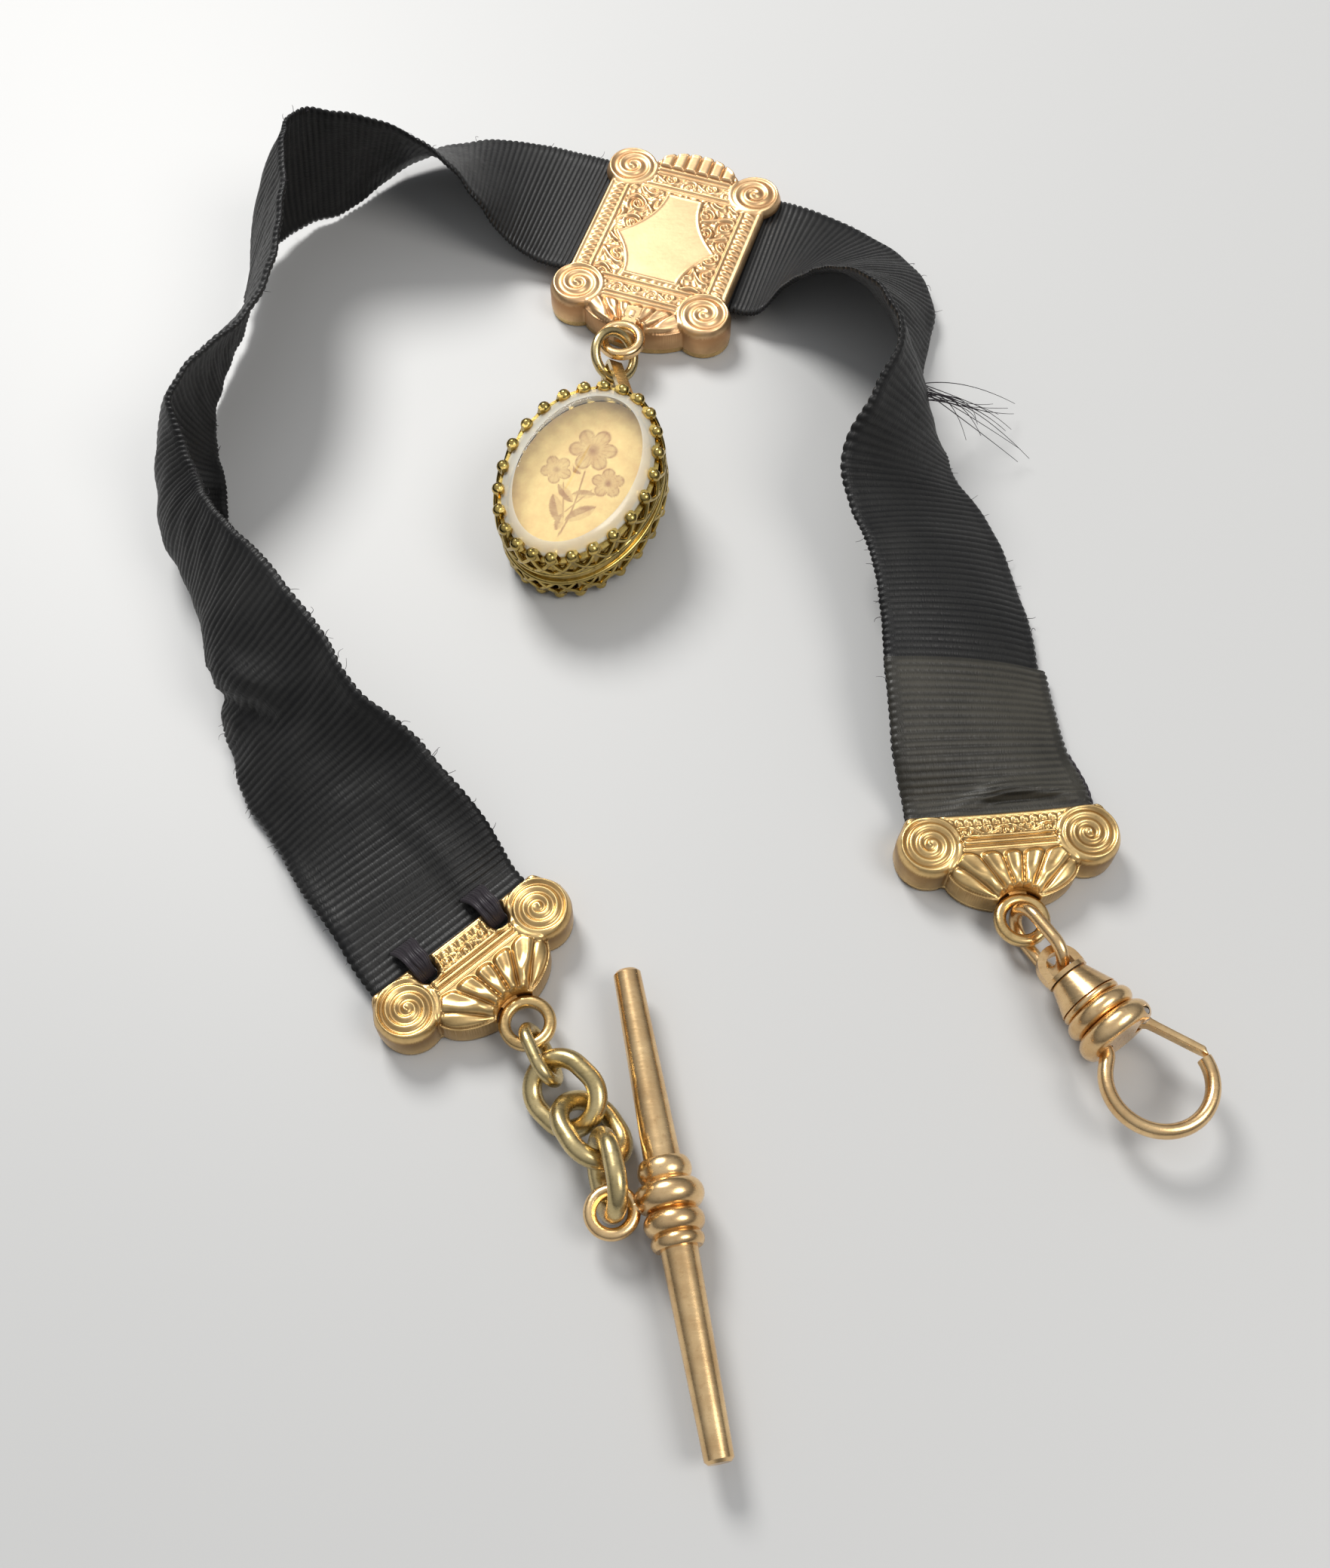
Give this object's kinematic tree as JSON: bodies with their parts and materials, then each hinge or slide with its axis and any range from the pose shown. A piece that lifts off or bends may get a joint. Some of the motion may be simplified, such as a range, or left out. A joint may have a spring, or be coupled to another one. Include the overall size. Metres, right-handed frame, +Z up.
{
  "type": "pocket watch fob",
  "caption": "Grosgrain ribbon watch fob with pressed end plates, a slide carrying an oval glass pendant, a chain with a T-bar and a snap swivel for the watch.",
  "frame": {"origin": "middle of the whole lay on the table", "axes": "+Z up, +Y away from the viewer, +X to the viewer's right"},
  "size_m": [0.0746, 0.1095, 0.0135],
  "materials": {
    "ribbon_cloth": "ribbed grosgrain",
    "ribbon_faded": "faded ribbed grosgrain",
    "thread": "matt thread",
    "plate_gold": "polished, pale gold wash",
    "rose_gold": "polished, rosy gold wash",
    "link_brass": "polished, a little worn",
    "gallery_brass": "bright cut",
    "steel_spring": "plain",
    "bevelled_glass": "clear, milky bevel",
    "card": "cream printed card"
  },
  "bodies": {
    "ribbon": {"ribbon": "ribbon_cloth", "ribbon_turned_end": "ribbon_faded", "left_stitches": "thread", "left_plate_front": "plate_gold", "left_plate_back": "plate_gold", "left_eye": "plate_gold", "right_plate_front": "plate_gold", "right_plate_back": "plate_gold", "right_eye": "plate_gold"},
    "slide": {"slide_front": "plate_gold", "slide_back": "plate_gold", "slide_eye": "plate_gold"},
    "pendant_ring": {"pendant_ring": "link_brass"},
    "pendant": {"bail": "link_brass", "centre_band": "gallery_brass", "front_gallery": "gallery_brass", "back_gallery": "gallery_brass", "front_glass": "bevelled_glass", "back_glass": "bevelled_glass", "front_card": "card", "back_card": "card"},
    "chain_link_1": {"chain_link_1": "link_brass"},
    "chain_link_2": {"chain_link_2": "link_brass"},
    "chain_link_3": {"chain_link_3": "link_brass"},
    "chain_link_4": {"chain_link_4": "link_brass"},
    "bar": {"bar_eye": "rose_gold", "bar_collar": "rose_gold", "bar_upper_arm": "rose_gold", "bar_lower_arm": "rose_gold"},
    "swivel_link": {"swivel_link": "link_brass"},
    "stirrup": {"stirrup": "rose_gold", "stirrup_rivet": "rose_gold"},
    "hook": {"swivel_body": "rose_gold", "hook": "rose_gold", "gate_pin": "rose_gold", "gate_spring": "steel_spring"},
    "gate": {"gate": "rose_gold"}
  },
  "joints": [
    {"name": "slide_travel", "type": "slide", "parent": "ribbon", "child": "slide", "axis": [0.9483, -0.3173, 0], "range_m": [-0.003, 0.002]},
    {"name": "pendant_ring_swing", "type": "hinge", "parent": "slide", "child": "pendant_ring", "pos_m": [-0.00245, 0.029, 0.0027], "axis": [0.9483, -0.3173, 0], "range_deg": [-6, 0]},
    {"name": "pendant_swing", "type": "hinge", "parent": "pendant_ring", "child": "pendant", "pos_m": [-0.00165, 0.02801, 0.00114], "axis": [0.658, 0.7309, -0.1812], "range_deg": [-8, 0]},
    {"name": "chain_link_1_swing", "type": "hinge", "parent": "ribbon", "child": "chain_link_1", "pos_m": [-0.00654, -0.02866, 0.0016], "axis": [0.7547, 0.6561, 0], "range_deg": [-20, 0]},
    {"name": "chain_link_2_swing", "type": "hinge", "parent": "chain_link_1", "child": "chain_link_2", "pos_m": [-0.00571, -0.03151, 0.00188], "axis": [-0.388, -0.0924, 0.917], "range_deg": [-6, 20]},
    {"name": "chain_link_3_swing", "type": "hinge", "parent": "chain_link_2", "child": "chain_link_3", "pos_m": [-0.0032, -0.03402, 0.00177], "axis": [0.6132, 0.6468, 0.4534], "range_deg": [-15, 6]},
    {"name": "chain_link_4_swing", "type": "hinge", "parent": "chain_link_3", "child": "chain_link_4", "pos_m": [-0.00186, -0.03685, 0.00232], "axis": [0.7348, 0.3507, -0.5805], "range_deg": [-15, 6]},
    {"name": "bar_swing", "type": "hinge", "parent": "chain_link_4", "child": "bar", "pos_m": [-0.00151, -0.04027, 0.00302], "axis": [0.2295, 0.1566, 0.9606], "range_deg": [-12, 6]},
    {"name": "swivel_link_swing", "type": "hinge", "parent": "ribbon", "child": "swivel_link", "pos_m": [0.02611, -0.02163, 0.0016], "axis": [0.9962, 0.0872, 0], "range_deg": [-10, 3]},
    {"name": "stirrup_swing", "type": "hinge", "parent": "swivel_link", "child": "stirrup", "pos_m": [0.02811, -0.02384, 0.00242], "axis": [0.1146, 0.2377, 0.9646], "range_deg": [-20, 6]},
    {"name": "hook_spin", "type": "hinge", "parent": "stirrup", "child": "hook", "pos_m": [0.03106, -0.02836, 0.00277], "axis": [0.5642, -0.824, 0.0523], "continuous": true},
    {"name": "gate_swing", "type": "hinge", "parent": "hook", "child": "gate", "pos_m": [0.03281, -0.02765, 0.00279], "axis": [0.0296, -0.0432, -0.9986], "range_deg": [0, 30], "stiffness_Nm_per_rad": 0.0005, "springref_deg": -5.73}
  ]
}
